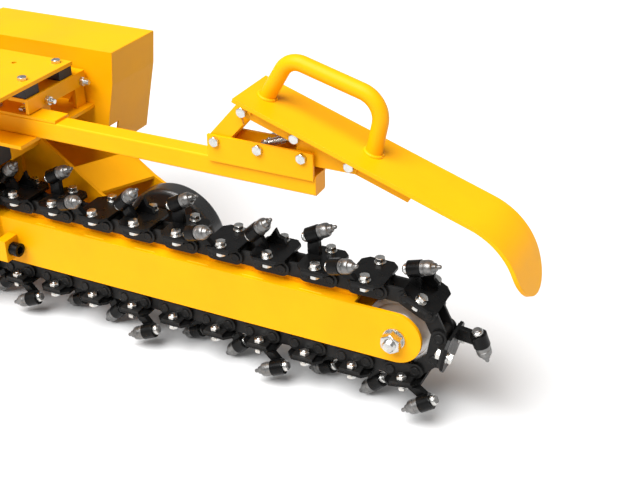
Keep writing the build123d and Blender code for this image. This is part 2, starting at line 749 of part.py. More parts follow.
ARM_STACK = CLAMP_T + ARM + BENCH_T
arm_bolt = bolt(BOLT_R, ARM_STACK + 12, PLATE_BOLT_FLATS, PLATE_BOLT_HEAD)

# ---- brackets on the arm and their bolts --------------------------------------------------------
BRACKET_BOLTS = (STRUT_BACK, POST_BACK, PIVOT_BACK)
with BuildPart() as arm_brackets:
    for side in (-1, 1):
        with BuildSketch(side_plane(side * ARM / 2)):
            with Locations((behind_nose((BRACKET_REAR + BRACKET_FRONT) / 2),
                            (BRACKET_LOW + BRACKET_HIGH) / 2)):
                Rectangle(BRACKET_REAR - BRACKET_FRONT, BRACKET_HIGH - BRACKET_LOW)
            for back in BRACKET_BOLTS:
                with Locations((behind_nose(back), PIVOT_Z)):
                    Circle(BOLT_R + FIT, mode=Mode.SUBTRACT)
        extrude(amount=-side * BRACKET_T)
keep(arm_brackets.part, "arm_brackets")

BRACKET_OUTER = ARM / 2 + BRACKET_T
bracket_bolt = bolt(BOLT_R, 2 * BRACKET_OUTER + 12, PLATE_BOLT_FLATS, PLATE_BOLT_HEAD)
bracket_bolts = scatter(
    bracket_bolt, [facing(NEAR, behind_nose(b), -BRACKET_OUTER, PIVOT_Z) for b in BRACKET_BOLTS]
)
keep(bracket_bolts, "bracket_bolts")

# ---- crumber: drawn square to its plate, with the pivot at (0, 0) -------------------------------
TILT = radians(CRUMBER_TILT)


def crumber_plane(y):
    """As side_plane, but turned to the crumber and centred on its pivot."""
    return Plane(
        origin=(behind_nose(PIVOT_BACK), y, PIVOT_Z), x_dir=(cos(TILT), 0, -sin(TILT)), z_dir=NEAR
    )


def crumber_point(u, v):
    """Place, in X and Z, of a point of the crumber."""
    return (
        behind_nose(PIVOT_BACK) + u * cos(TILT) + v * sin(TILT),
        PIVOT_Z - u * sin(TILT) + v * cos(TILT),
    )


UNDERSIDE = CRUMBER_RISE - CRUMBER_T
TAIL_BOLT = (-137, 23)      # where the strut hooks on
SPRING_BOLT = (-28, 23)
RIB_BOLT = (85, 25)
BEND = radians(CRUMBER_BEND)
BEND_END = (
    CRUMBER_BEND_AT + CRUMBER_BEND_R * sin(BEND),
    CRUMBER_RISE - CRUMBER_T / 2 - CRUMBER_BEND_R * (1 - cos(BEND)),
)
with BuildPart() as crumber_plate:
    with BuildSketch(crumber_plane(CRUMBER_HALF_W)):
        with BuildLine():
            flat = Line((-CRUMBER_REAR, CRUMBER_RISE - CRUMBER_T / 2),
                        (CRUMBER_BEND_AT, CRUMBER_RISE - CRUMBER_T / 2))
            curve = JernArc(flat @ 1, flat % 1, CRUMBER_BEND_R, -CRUMBER_BEND)
            Line(curve @ 1, curve @ 1 + (curve % 1) * CRUMBER_HALF_W)
        trace(line_width=CRUMBER_T)
    extrude(amount=2 * CRUMBER_HALF_W)
    nose_x, nose_z = crumber_point(*BEND_END)
    end_tilt = TILT + BEND
    end_plane = Plane(
        origin=(nose_x, 0, nose_z), x_dir=(cos(end_tilt), 0, -sin(end_tilt)),
        z_dir=(sin(end_tilt), 0, cos(end_tilt)),
    )
    with BuildSketch(end_plane.offset(-CRUMBER_BEND_AT - CRUMBER_REAR)):
        Circle(CRUMBER_HALF_W)
        with Locations((-(CRUMBER_BEND_AT + CRUMBER_REAR), 0)):
            Rectangle(2 * (CRUMBER_BEND_AT + CRUMBER_REAR), 2 * CRUMBER_HALF_W)
    extrude(amount=2 * (CRUMBER_BEND_AT + CRUMBER_REAR), mode=Mode.INTERSECT)
keep(crumber_plate.part, "crumber_plate")

CHEEK_OUTER = CHEEK_INNER + CHEEK_T
with BuildPart() as crumber_cheeks:
    for side in (-1, 1):
        with BuildSketch(crumber_plane(side * CHEEK_INNER)):
            with BuildLine():
                Polyline(
                    (-CRUMBER_REAR + 2, UNDERSIDE), (-CRUMBER_REAR + 2, 30), (-CRUMBER_REAR + 8, 12),
                    (-20, 12), (-16, -12), (8, -16), (86, 11), (100, 16), (100, UNDERSIDE), close=True,
                )
            make_face()
            with Locations((0, 0)):
                Circle(BOLT_R + FIT, mode=Mode.SUBTRACT)
            for spot in (TAIL_BOLT, SPRING_BOLT, RIB_BOLT):
                with Locations(spot):
                    Circle(BOLT_R + FIT, mode=Mode.SUBTRACT)
        extrude(amount=-side * CHEEK_T)
keep(crumber_cheeks.part, "crumber_cheeks")

RIB_T = 5.0
with BuildPart() as crumber_ribs:
    for side in (-1, 1):
        with BuildSketch(crumber_plane(side * (CHEEK_INNER - RIB_T))):
            with BuildLine():
                Polyline((62, 12), (205, 12), (211, 32), (211, UNDERSIDE), (62, UNDERSIDE), close=True)
            make_face()
            with Locations(RIB_BOLT):
                Circle(BOLT_R + FIT, mode=Mode.SUBTRACT)
        extrude(amount=-side * RIB_T)
keep(crumber_ribs.part, "crumber_ribs")

with BuildPart() as crumber_handle:
    with BuildLine(crumber_plane(0)) as bow:
        FilletPolyline((-107, CRUMBER_RISE), (-89, 154), (100, 165), (114, CRUMBER_RISE),
                       radius=[36, 48])
    with BuildSketch(Plane(origin=bow.wires()[0] @ 0, z_dir=bow.wires()[0] % 0)):
        Circle(HANDLE_R)
        Circle(HANDLE_R - HANDLE_WALL, mode=Mode.SUBTRACT)
    sweep()
    with BuildSketch(crumber_plane(-CRUMBER_HALF_W)):
        with Locations((0, CRUMBER_RISE - 20)):
            Rectangle(320, 40)
    extrude(amount=-2 * CRUMBER_HALF_W, mode=Mode.SUBTRACT)
keep(crumber_handle.part, "crumber_handle")

STRUT_OUTER = ARM / 2 - RUN_GAP
tail_bolt = bolt(BOLT_R, 2 * STRUT_OUTER + 10, PLATE_BOLT_FLATS, PLATE_BOLT_HEAD)
cheek_bolt = bolt(BOLT_R, 2 * CHEEK_OUTER + 10, PLATE_BOLT_FLATS, PLATE_BOLT_HEAD)
tail_x, tail_z = crumber_point(*TAIL_BOLT)
with BuildPart() as crumber_bolts:
    with Locations(facing(NEAR, tail_x, -STRUT_OUTER - RUN_GAP, tail_z)):
        add(tail_bolt)
    for spot in (SPRING_BOLT, RIB_BOLT):
        x, z = crumber_point(*spot)
        with Locations(facing(NEAR, x, -CHEEK_OUTER, z)):
            add(cheek_bolt)
keep(crumber_bolts.part, "crumber_bolts")
tail_nut = nut(BOLT_R, PLATE_BOLT_FLATS, 7)
with BuildPart() as crumber_nuts:
    with Locations(facing(FAR, tail_x, STRUT_OUTER + RUN_GAP, tail_z)):
        add(tail_nut)
    for spot in (SPRING_BOLT, RIB_BOLT):
        x, z = crumber_point(*spot)
        with Locations(facing(FAR, x, CHEEK_OUTER, z)):
            add(tail_nut)
keep(crumber_nuts.part, "crumber_nuts")

# ---- strut that hooks the crumber's tail --------------------------------------------------------
foot_x = behind_nose(STRUT_BACK)
STRUT_LENGTH = hypot(tail_x - foot_x, tail_z - PIVOT_Z)
STRUT_TURN = atan2(tail_z - PIVOT_Z, tail_x - foot_x)


def strut_plane(y):
    """As side_plane, but along the strut, with the strut's foot at (0, 0)."""
    return Plane(
        origin=(foot_x, y, PIVOT_Z), x_dir=(cos(STRUT_TURN), 0, sin(STRUT_TURN)), z_dir=NEAR
    )


HOOK_R = BOLT_R + 1.0
with BuildPart() as strut:
    for side in (-1, 1):
        with BuildSketch(strut_plane(side * (STRUT_OUTER - STRUT_T))):
            with Locations((STRUT_LENGTH / 2, 0)):
                SlotCenterToCenter(STRUT_LENGTH, STRUT_W)
            Circle(BOLT_R + FIT, mode=Mode.SUBTRACT)
            with Locations((STRUT_LENGTH, 0)):
                Circle(HOOK_R, mode=Mode.SUBTRACT)
            with BuildLine():
                Polyline((STRUT_LENGTH + HOOK_R, 0), (STRUT_LENGTH, HOOK_R),
                         (STRUT_LENGTH - 32, -STRUT_W), (STRUT_LENGTH + 6, -STRUT_W), close=True)
            make_face(mode=Mode.SUBTRACT)
        extrude(amount=-side * STRUT_T)
    with BuildSketch(strut_plane(STRUT_OUTER - STRUT_T)):
        with Locations((STRUT_LENGTH * 0.36, STRUT_W / 2 - 2)):
            Rectangle(26, 4)
    extrude(amount=2 * (STRUT_OUTER - STRUT_T))
keep(strut.part, "strut")

# ---- lift spring: the coil's outer shape between its two hooks ----------------------------------
SPRING_R = 8.0
post_x = behind_nose(POST_BACK)
hook_x, hook_z = crumber_point(*SPRING_BOLT)
SPRING_SPAN = hypot(hook_x - post_x, hook_z - PIVOT_Z)
SPRING_TURN = atan2(hook_z - PIVOT_Z, hook_x - post_x)
spring_place = Plane(
    origin=(post_x, 0, PIVOT_Z), x_dir=NEAR, z_dir=(cos(SPRING_TURN), 0, sin(SPRING_TURN))
)
with BuildPart() as lift_spring:
    with BuildSketch(spring_place.offset(BOLT_R + RUN_GAP)):
        Circle(2.0)
    extrude(amount=SPRING_SPAN - 2 * (BOLT_R + RUN_GAP))
    with BuildSketch(spring_place.offset(BOLT_R + 6)):
        Circle(SPRING_R)
    extrude(amount=SPRING_SPAN - 2 * (BOLT_R + 6))
keep(lift_spring.part, "lift_spring")

# ---- fork and support wheel ---------------------------------------------------------------------
FORK_NEAR = SIDE_OUTER
FORK_FAR = FORK_NEAR + FORK_T + FORK_INNER
WHEEL_X = behind_nose(WHEEL_BACK)
WHEEL_Y = FORK_NEAR + FORK_T + FORK_INNER / 2
with BuildPart() as fork_plates:
    for y, lead in ((FORK_NEAR + FORK_T, 0), (FORK_FAR + FORK_T, FORK_FAR_LEAD)):
        with BuildSketch(side_plane(y)):
            with BuildLine():
                Polyline(
                    (behind_nose(1010), BENCH_LOW), (behind_nose(951 - lead), BENCH_LOW),
                    (behind_nose(742 - lead), 88), (behind_nose(715 - lead), 73),
                    (WHEEL_X, WHEEL_Z + 34), (WHEEL_X, WHEEL_Z - 34), (behind_nose(800), 0),
                    (behind_nose(1010), 60), close=True,
                )
            make_face()
            with Locations((WHEEL_X, WHEEL_Z)):
                Circle(34)
                Circle(WHEEL_BOLT_R + BOLT_GAP, mode=Mode.SUBTRACT)
        extrude(amount=FORK_T)
keep(fork_plates.part, "fork_plates")

FORK_SLOPE = atan2(BENCH_LOW - 88, 951 - 742)
COVER_RUN = 80 * cos(FORK_SLOPE)
COVER_RISE = 80 * sin(FORK_SLOPE)
with BuildPart() as fork_crossplates:
    near_y = FORK_NEAR + FORK_T
    extrude(
        Face(Wire.make_polygon([
            (behind_nose(742), near_y, 88),
            (behind_nose(742) - COVER_RUN, near_y, 88 + COVER_RISE),
            (behind_nose(742 - FORK_FAR_LEAD) - COVER_RUN, FORK_FAR, 88 + COVER_RISE),
            (behind_nose(742 - FORK_FAR_LEAD), FORK_FAR, 88),
        ])),
        amount=7, dir=(0, 0, -1),
    )
    with BuildSketch(cross_plane(behind_nose(1000))):
        with Locations((WHEEL_Y, (GUARD_LOW + 70) / 2)):
            Rectangle(FORK_INNER, GUARD_LOW - 72)
    extrude(amount=8)
keep(fork_crossplates.part, "fork_crossplates")

HUB_R = 28.0
HUB_HALF = 48.0
RIM_R = 78.0
with BuildPart() as wheel_tyre:
    with BuildSketch(Plane.XZ) as tread:
        with Locations(((RIM_R + WHEEL_R) / 2, 0)):
            Rectangle(WHEEL_R - RIM_R, 2 * WHEEL_HALF_W)
        fillet(tread.vertices().group_by(Axis.X)[-1], 11)
    revolve(axis=Axis.Z)
keep(wheel_tyre.part.moved(facing(NEAR, WHEEL_X, WHEEL_Y, WHEEL_Z)), "wheel_tyre")

with BuildPart() as wheel_rim:
    with BuildSketch(Plane.XZ):
        with BuildLine():
            Polyline(
                (WHEEL_BOLT_R + FIT, -HUB_HALF), (HUB_R, -HUB_HALF), (HUB_R, -6), (RIM_R - 5, -6),
                (RIM_R - 5, -WHEEL_HALF_W + 2), (RIM_R, -WHEEL_HALF_W + 2), (RIM_R, WHEEL_HALF_W - 2),
                (RIM_R - 5, WHEEL_HALF_W - 2), (RIM_R - 5, 6), (HUB_R, 6), (HUB_R, HUB_HALF),
                (WHEEL_BOLT_R + FIT, HUB_HALF), close=True,
            )
        make_face()
    revolve(axis=Axis.Z)
keep(wheel_rim.part.moved(facing(NEAR, WHEEL_X, WHEEL_Y, WHEEL_Z)), "wheel_rim")

wheel_spacer = ring(WHEEL_BOLT_R + BOLT_GAP, 18, FORK_INNER / 2 - HUB_HALF - RUN_GAP)
wheel_spacers = scatter(
    wheel_spacer,
    [facing(FAR, WHEEL_X, FORK_NEAR + FORK_T, WHEEL_Z), facing(NEAR, WHEEL_X, FORK_FAR, WHEEL_Z)],
)
keep(wheel_spacers, "wheel_spacers")
wheel_bolt = bolt(WHEEL_BOLT_R, FORK_INNER + 2 * FORK_T + 22, 30, 12.5)
keep(wheel_bolt.moved(facing(FAR, WHEEL_X, FORK_FAR + FORK_T, WHEEL_Z)), "wheel_bolt")
wheel_nut = nut(WHEEL_BOLT_R, 30, 8)
keep(wheel_nut.moved(facing(NEAR, WHEEL_X, FORK_NEAR, WHEEL_Z)), "wheel_nut")

# ---- deck on its rubber mounts ------------------------------------------------------------------
RAIL_TOP = RAIL_FOOT + RAIL_H
DECK_LOW = RAIL_TOP + PAD_H
RAIL_NEAR = -18.0
RAIL_FAR = 172.0
POST_YS = (41.0, 159.0)
PAD_YS = (5.0, 115.0)
RAIL_XS = (behind_nose(RAIL_BACK), behind_nose(RAIL_BACK + RAIL_SPACING))
RAIL_BOLT_Z = RAIL_FOOT + 10
PAD_BACK = 26.0
with BuildPart() as deck_rails:
    for x in RAIL_XS:
        with BuildSketch(cross_plane(x - RAIL_T)):
            with Locations(((RAIL_NEAR + RAIL_FAR) / 2, (RAIL_FOOT + RAIL_TOP) / 2)):
                Rectangle(RAIL_FAR - RAIL_NEAR, RAIL_H)
            for y in POST_YS:
                with Locations((y, RAIL_BOLT_Z)):
                    Circle(BOLT_R + BOLT_GAP, mode=Mode.SUBTRACT)
        extrude(amount=RAIL_T)
        with BuildSketch(Plane.XY.offset(RAIL_TOP)):
            with Locations((x - RAIL_DEPTH / 2, (RAIL_NEAR + RAIL_FAR) / 2)):
                Rectangle(RAIL_DEPTH, RAIL_FAR - RAIL_NEAR)
            for y in PAD_YS:
                with Locations((x - PAD_BACK, y)):
                    Circle(BOLT_R + BOLT_GAP, mode=Mode.SUBTRACT)
        extrude(amount=-RAIL_T)
keep(deck_rails.part, "deck_rails")

with BuildPart() as rail_posts:
    for x in RAIL_XS:
        for y in POST_YS:
            with BuildSketch(cross_plane(x - 2 * RAIL_T)):
                with Locations((y, (BENCH_Z + RAIL_TOP - RAIL_T) / 2)):
                    Rectangle(32, RAIL_TOP - RAIL_T - BENCH_Z)
                with Locations((y, RAIL_BOLT_Z)):
                    Circle(BOLT_R + BOLT_GAP, mode=Mode.SUBTRACT)
            extrude(amount=RAIL_T)
            with BuildSketch(side_plane(y + 12)):
                with BuildLine():
                    Polyline((x - 2 * RAIL_T, BENCH_Z), (x - 2 * RAIL_T, RAIL_FOOT - 4),
                             (x - 2 * RAIL_T - 34, BENCH_Z), close=True)
                make_face()
            extrude(amount=6)
keep(rail_posts.part, "rail_posts")

rail_bolt = bolt(BOLT_R, 2 * RAIL_T + 20, PLATE_BOLT_FLATS, PLATE_BOLT_HEAD)
deck_bolt = bolt(BOLT_R, DECK_T + PAD_H + RAIL_T + 12, PLATE_BOLT_FLATS, PLATE_BOLT_HEAD)
with BuildPart() as frame_bolts:
    with Locations(*[Pos(behind_nose(back), 0, ARM_TOP + CLAMP_T) for back in ARM_BOLTS]):
        add(arm_bolt)
    for x in RAIL_XS:
        with Locations(*[facing(BACKWARD, x - 2 * RAIL_T, y, RAIL_BOLT_Z) for y in POST_YS]):
            add(rail_bolt)
        with Locations(*[Pos(x - PAD_BACK, y, DECK_LOW + DECK_T) for y in PAD_YS]):
            add(deck_bolt)
keep(frame_bolts.part, "frame_bolts")

NUT_SEATS = [facing(FORWARD, x, y, RAIL_BOLT_Z) for x in RAIL_XS for y in POST_YS]
NUT_SEATS += [facing(FAR, behind_nose(b), BRACKET_OUTER, PIVOT_Z) for b in BRACKET_BOLTS]
NUT_SEATS += [Pos(behind_nose(b), 0, BENCH_LOW - PLATE_NUT) for b in ARM_BOLTS]
frame_nuts = scatter(plate_nut, NUT_SEATS)
keep(frame_nuts, "frame_nuts")

with BuildPart() as rubber_mounts:
    for x in RAIL_XS:
        for y in PAD_YS:
            with BuildSketch(Plane.XY.offset(RAIL_TOP)):
                with Locations((x - PAD_BACK, y)):
                    Rectangle(PAD, PAD)
                    Circle(BOLT_R + BOLT_GAP, mode=Mode.SUBTRACT)
            extrude(amount=PAD_H)
keep(rubber_mounts.part, "rubber_mounts")

DECK_LENGTH = RAIL_SPACING + RAIL_DEPTH + 20
with BuildPart() as deck_plate:
    with BuildSketch(Plane.XY.offset(DECK_LOW)):
        deck_x = behind_nose(RAIL_BACK) - DECK_LENGTH / 2
        with Locations((deck_x, (DECK_NEAR + DECK_FAR) / 2)):
            Rectangle(DECK_LENGTH, DECK_FAR - DECK_NEAR)
            with GridLocations(DECK_SPACING_X, DECK_SPACING_Y, 2, 2):
                Circle(DECK_HOLE_R, mode=Mode.SUBTRACT)
        for x in RAIL_XS:
            for y in PAD_YS:
                with Locations((x - PAD_BACK, y)):
                    Circle(BOLT_R + BOLT_GAP, mode=Mode.SUBTRACT)
    extrude(amount=DECK_T)
keep(deck_plate.part, "deck_plate")

# ---- sheet guard beside the deck ----------------------------------------------------------------
GUARD_NEAR = BENCH_FAR
GUARD_EDGE = ((777, GUARD_LOW), (755, 300), (748, GUARD_HIGH))
GUARD_SKIRT = (790, 140)    # foot of the deeper part, clear of the fork's far plate
SKIRT_INSET = 38.0
DEEP_EDGE = (GUARD_SKIRT, *GUARD_EDGE)
GUARD_REAR_X = behind_nose(GUARD_EDGE[2][0] + GUARD_LENGTH)
with BuildPart() as side_guard:
    for y, edge in ((GUARD_NEAR + GUARD_T, GUARD_EDGE), (GUARD_NEAR + GUARD_W, DEEP_EDGE)):
        with BuildSketch(side_plane(y)):
            with BuildLine():
                Polyline(
                    (GUARD_REAR_X, GUARD_HIGH), (GUARD_REAR_X, GUARD_LOW),
                    *[(behind_nose(back), z) for back, z in edge], close=True,
                )
            make_face()
        extrude(amount=GUARD_T)
    for edge, width in ((GUARD_EDGE, GUARD_W), (DEEP_EDGE[:2], GUARD_W - SKIRT_INSET)):
        with BuildSketch(side_plane(GUARD_NEAR + GUARD_W)):
            with BuildLine():
                Polyline(
                    *[(behind_nose(back), z) for back, z in edge],
                    *[(behind_nose(back) + GUARD_T, z) for back, z in reversed(edge)], close=True,
                )
            make_face()
        extrude(amount=width)
    with BuildSketch(Plane.XY.offset(GUARD_HIGH)):
        front = behind_nose(GUARD_EDGE[2][0]) + GUARD_T
        with Locations(((GUARD_REAR_X + front) / 2, GUARD_NEAR + GUARD_W / 2)):
            Rectangle(front - GUARD_REAR_X, GUARD_W)
    extrude(amount=GUARD_T)
keep(side_guard.part, "side_guard")
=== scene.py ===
import bpy
import math
import numpy as np
from mathutils import Matrix, Vector


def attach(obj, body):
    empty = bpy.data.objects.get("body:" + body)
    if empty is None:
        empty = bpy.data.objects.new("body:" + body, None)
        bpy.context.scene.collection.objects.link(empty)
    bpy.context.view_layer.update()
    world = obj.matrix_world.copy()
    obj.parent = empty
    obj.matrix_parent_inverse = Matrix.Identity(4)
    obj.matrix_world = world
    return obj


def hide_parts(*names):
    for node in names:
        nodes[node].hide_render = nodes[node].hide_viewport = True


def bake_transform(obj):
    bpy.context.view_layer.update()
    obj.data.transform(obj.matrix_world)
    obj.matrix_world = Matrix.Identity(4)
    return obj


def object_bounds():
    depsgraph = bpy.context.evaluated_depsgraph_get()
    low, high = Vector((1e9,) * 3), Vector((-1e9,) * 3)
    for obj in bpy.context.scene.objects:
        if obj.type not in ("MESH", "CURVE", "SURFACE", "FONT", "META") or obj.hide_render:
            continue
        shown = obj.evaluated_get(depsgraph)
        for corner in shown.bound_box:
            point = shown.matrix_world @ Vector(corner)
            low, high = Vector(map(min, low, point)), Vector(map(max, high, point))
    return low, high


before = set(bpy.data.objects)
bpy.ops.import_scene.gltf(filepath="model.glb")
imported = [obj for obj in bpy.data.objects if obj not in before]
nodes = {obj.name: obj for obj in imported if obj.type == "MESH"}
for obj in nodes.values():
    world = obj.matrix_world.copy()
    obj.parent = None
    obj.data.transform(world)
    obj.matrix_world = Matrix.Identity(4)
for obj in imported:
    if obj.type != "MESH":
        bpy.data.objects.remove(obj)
size_at_load = [list(corner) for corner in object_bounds()]

# ---- camera --------------------------------------------------------------------------------------
# It stands off the boom's nose on the near side, a little over head height of the part, and looks
# back and down along the boom, so the frame behind the support wheel runs out of the picture.
NOSE = Vector((1.4174, 0.0, 0.0))
yaw, pitch, roll = math.radians(26.54), math.radians(29.32), math.radians(-0.89)
ahead = Vector((-math.sin(yaw) * math.cos(pitch), math.cos(yaw) * math.cos(pitch), -math.sin(pitch)))
level = ahead.cross(Vector((0, 0, 1))).normalized()
upright = level.cross(ahead)
right = level * math.cos(roll) + upright * math.sin(roll)
up = upright * math.cos(roll) - level * math.sin(roll)
camera = bpy.data.objects.new("camera", bpy.data.cameras.new("camera"))
camera.data.sensor_width = 36.0
camera.data.lens = 63.15
camera.data.clip_end = 100.0
camera.matrix_world = Matrix.LocRotScale(
    NOSE + Vector((0.6184, -1.6125, 1.1566)),
    Matrix((right, up, -ahead)).transposed(),
    None,
)
bpy.context.scene.collection.objects.link(camera)
bpy.context.scene.camera = camera
bpy.context.scene.view_settings.view_transform = "Standard"

# ---- floor and studio light ----------------------------------------------------------------------
# A pale studio floor under the lowest bits. One wide soft lamp stands high on the near side towards
# the hitch, and the pale room fills in the rest.
lowest = size_at_load[0][2]
bpy.ops.mesh.primitive_plane_add(size=60, location=(1.0, 0, lowest - 0.0005))
floor = bpy.context.object
floor.name = "studio_floor"
floor_finish = bpy.data.materials.new("studio_floor")
floor_finish.use_nodes = True
floor_shader = floor_finish.node_tree.nodes["Principled BSDF"]
floor_shader.inputs["Base Color"].default_value = (0.64, 0.64, 0.64, 1)
floor_shader.inputs["Roughness"].default_value = 0.9
floor_shader.inputs["Specular IOR Level"].default_value = 0.0
floor.data.materials.append(floor_finish)

room = bpy.data.worlds.new("room")
room.use_nodes = True
room.node_tree.nodes["Background"].inputs["Color"].default_value = (1, 1, 1, 1)
room.node_tree.nodes["Background"].inputs["Strength"].default_value = 0.34
bpy.context.scene.world = room

key = bpy.data.objects.new("key_light", bpy.data.lights.new("key_light", "SUN"))
key.data.energy = 5.9
key.data.angle = 0.9
key.rotation_euler = Vector((-0.25, -0.80, 1.53)).to_track_quat("Z", "Y").to_euler()
bpy.context.scene.collection.objects.link(key)

panel = bpy.data.objects.new("panel_light", bpy.data.lights.new("panel_light", "AREA"))
panel.data.shape = "RECTANGLE"
panel.data.size = 1.6
panel.data.size_y = 0.7
panel.data.energy = 9.0
panel.location = (0.3, -1.9, 2.1)
panel.rotation_euler = (Vector(panel.location) - NOSE).to_track_quat("Z", "Y").to_euler()
bpy.context.scene.collection.objects.link(panel)

# ---- yellow painted steel plates and tubes --------------------------------------------------------
# Welded steel plate and tube under a thick gloss coat of industrial yellow, with a faint orange
# peel, soft edges where the coat rounds them, and a little dust in the wider patches.


def surface(name, colours, metallic, rough, grain, depth, patch, edge, gleam=0.5, coat=0.0):
    """A procedural finish: patches between two colours, uneven gloss, fine grain and soft edges."""
    finish = bpy.data.materials.new(name)
    finish.use_nodes = True
    tree = finish.node_tree
    shader = tree.nodes["Principled BSDF"]
    place = tree.nodes.new("ShaderNodeTexCoord")
    broad = tree.nodes.new("ShaderNodeTexNoise")
    broad.inputs["Scale"].default_value = patch
    broad.inputs["Detail"].default_value = 6.0
    broad.inputs["Roughness"].default_value = 0.6
    tree.links.new(place.outputs["Object"], broad.inputs["Vector"])
    blend = tree.nodes.new("ShaderNodeValToRGB")
    blend.color_ramp.elements[0].position = 0.35
    blend.color_ramp.elements[0].color = (*colours[0], 1)
    blend.color_ramp.elements[1].position = 0.65
    blend.color_ramp.elements[1].color = (*colours[1], 1)
    tree.links.new(broad.outputs["Fac"], blend.inputs["Fac"])
    tree.links.new(blend.outputs["Color"], shader.inputs["Base Color"])
    fine = tree.nodes.new("ShaderNodeTexNoise")
    fine.inputs["Scale"].default_value = grain
    fine.inputs["Detail"].default_value = 3.0
    tree.links.new(place.outputs["Object"], fine.inputs["Vector"])
    gloss = tree.nodes.new("ShaderNodeMapRange")
    gloss.inputs["From Min"].default_value = 0.3
    gloss.inputs["From Max"].default_value = 0.7
    gloss.inputs["To Min"].default_value = rough[0]
    gloss.inputs["To Max"].default_value = rough[1]
    tree.links.new(broad.outputs["Fac"], gloss.inputs["Value"])
    tree.links.new(gloss.outputs["Result"], shader.inputs["Roughness"])
    soft = tree.nodes.new("ShaderNodeBevel")
    soft.samples = 4
    soft.inputs["Radius"].default_value = edge
    relief = tree.nodes.new("ShaderNodeBump")
    relief.inputs["Strength"].default_value = depth
    relief.inputs["Distance"].default_value = 0.001
    tree.links.new(fine.outputs["Fac"], relief.inputs["Height"])
    tree.links.new(soft.outputs["Normal"], relief.inputs["Normal"])
    tree.links.new(relief.outputs["Normal"], shader.inputs["Normal"])
    shader.inputs["Metallic"].default_value = metallic
    shader.inputs["Specular IOR Level"].default_value = gleam
    shader.inputs["Coat Weight"].default_value = coat
    shader.inputs["Coat Roughness"].default_value = 0.12
    return finish


def paint(names, finish):
    """Give CAD nodes a finish in their own slot."""
    for name in names:
        for index in range(len(nodes[name].data.materials)):
            nodes[name].data.materials[index] = finish


yellow = surface(
    "yellow_paint", ((0.81, 0.352, 0.001), (0.86, 0.376, 0.001)), 0.0, (0.36, 0.48),
    900.0, 0.05, 9.0, 0.0012, gleam=0.12,
)
paint(
    """arm_brackets arm_clamp arm_end_cap bench_plate boom_sides boom_skins boom_socket boom_tongue
    chain_rails crumber_arm crumber_cheeks crumber_handle crumber_plate crumber_ribs deck_plate
    deck_rails fork_crossplates fork_plates frame_sides front_plate hitch_plate rail_posts side_guard
    strut tension_lug""".split(),
    yellow,
)

# ---- black chain steel ----------------------------------------------------------------------------
# Heat-treated links, base plates, barrels and fins in a thin satin black coat that has a slightly
# oily, uneven gloss, and a brighter grey where the coat is thin.
black = surface(
    "black_steel", ((0.002, 0.002, 0.002), (0.005, 0.005, 0.005)), 0.0, (0.22, 0.40),
    700.0, 0.14, 38.0, 0.0011, gleam=0.14, coat=0.02,
)
paint(["base_plates", "bit_holders", "knife_fins", "bearings"], black)
oiled = surface(
    "link_steel", ((0.006, 0.006, 0.006), (0.015, 0.0145, 0.014)), 0.1, (0.30, 0.48),
    600.0, 0.16, 30.0, 0.0010, gleam=0.18,
)
paint(["chain_inner_links", "chain_outer_links", "chain_rollers"], oiled)

# ---- machined running surfaces --------------------------------------------------------------------
# The nose idler and its sleeve, the drive shaft and the sprocket are bare steel that the chain
# keeps bright.
bright_steel = surface(
    "polished_steel", ((0.50, 0.50, 0.49), (0.68, 0.67, 0.66)), 0.75, (0.30, 0.48),
    500.0, 0.10, 26.0, 0.0010,
)
paint("idler_wheel nose_sleeve nose_spacers drive_shaft drive_sprocket".split(), bright_steel)

# ---- rubber: deck mounts, spoil flap and the solid tyre with its disc -----------------------------
# Moulded black rubber blocks under the deck, a hanging flap over the chain, and a smooth solid tyre
# with a faint mould texture on a black painted disc.  Under the bench plate the flap's black is
# partly the rubber's own colour and partly painted shade, filling the shaded hollow there.
moulded = surface(
    "rubber", ((0.010, 0.010, 0.011), (0.020, 0.020, 0.021)), 0.0, (0.50, 0.70),
    420.0, 0.25, 20.0, 0.0020,
)
# spoil_flap is black rubber that also stands in for painted shade under the bench plate.
paint(["rubber_mounts", "spoil_flap"], moulded)
tyre_rubber = surface(
    "tyre", ((0.010, 0.010, 0.010), (0.018, 0.018, 0.018)), 0.0, (0.24, 0.38),
    260.0, 0.15, 14.0, 0.0030, coat=0.3,
)
paint(["wheel_tyre"], tyre_rubber)
disc_paint = surface(
    "rim_paint", ((0.006, 0.006, 0.006), (0.012, 0.012, 0.012)), 0.1, (0.30, 0.45),
    600.0, 0.08, 30.0, 0.0015,
)
paint(["wheel_rim"], disc_paint)

# ---- rotary bits -----------------------------------------------------------------------------------
# Turned steel bits with a small hard tip, a stepped cone, two grip grooves and a wide collar.  The
# shank goes through the black barrel and a clip holds it behind.
turned_steel = surface(
    "turned_steel", ((0.12, 0.12, 0.118), (0.25, 0.246, 0.24)), 0.8, (0.24, 0.42),
    800.0, 0.18, 55.0, 0.0004,
)


def solids(name):
    """The separate solids of a CAD node: corner points, and each facet's direction and area."""
    mesh = nodes[name].data
    mesh.calc_loop_triangles()
    points = np.empty(len(mesh.vertices) * 3)
    mesh.vertices.foreach_get("co", points)
    points = points.reshape(-1, 3)
    facets = np.empty(len(mesh.loop_triangles) * 3, int)
    mesh.loop_triangles.foreach_get("vertices", facets)
    places, same = np.unique(np.round(points, 6), axis=0, return_inverse=True)
    facets = same.reshape(-1)[facets].reshape(-1, 3)
    label = np.arange(len(places))
    while True:
        lowest_label = label[facets].min(axis=1)
        fresh = label.copy()
        for corner in range(3):
            np.minimum.at(fresh, facets[:, corner], lowest_label)
        if np.array_equal(fresh, label):
            break
        label = fresh
    first, second, third = (places[facets[:, corner]] for corner in range(3))
    cross = np.cross(second - first, third - first)
    found = []
    for value in np.unique(label[facets[:, 0]]):
        own = cross[label[facets[:, 0]] == value]
        area = np.linalg.norm(own, axis=1)
        keep = area > 1e-12
        found.append((places[label == value], own[keep] / area[keep, None], area[keep]))
    return found


